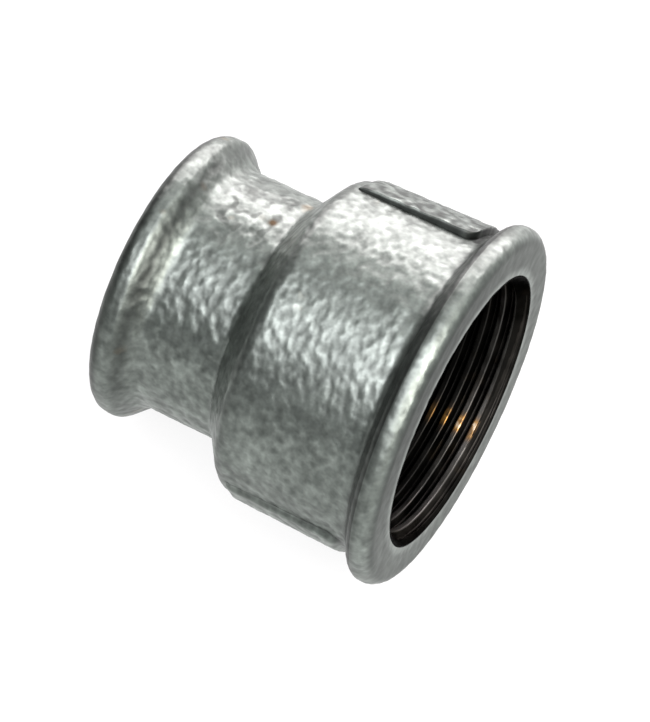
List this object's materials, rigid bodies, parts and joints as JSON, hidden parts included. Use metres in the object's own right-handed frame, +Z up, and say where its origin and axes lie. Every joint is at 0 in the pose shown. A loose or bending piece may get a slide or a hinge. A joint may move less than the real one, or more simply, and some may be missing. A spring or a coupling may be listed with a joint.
{
  "type": "threaded concentric reducer",
  "caption": "Galvanised malleable iron reducing socket with a raised band and a female pipe thread at each end, joining pipes of different sizes in line.",
  "frame": {"origin": "on the bench under the middle of the part, which lies on its side on its large band", "axes": "+X along the bore from the small mouth to the large mouth, +Z up, -Y is the front"},
  "size_m": [0.05, 0.0564, 0.0564],
  "materials": {
    "zinc_skin": "hot-dip galvanised, bright zinc with an orange-peel texture",
    "cut_thread": "machined dark iron, lightly oiled"
  },
  "bodies": {
    "root": {"large_band": "zinc_skin", "large_barrel": "zinc_skin", "upper_rib": "zinc_skin", "lower_rib": "zinc_skin", "shoulder": "zinc_skin", "small_barrel": "zinc_skin", "small_band": "zinc_skin", "large_thread": "cut_thread", "small_thread": "cut_thread"}
  },
  "joints": []
}
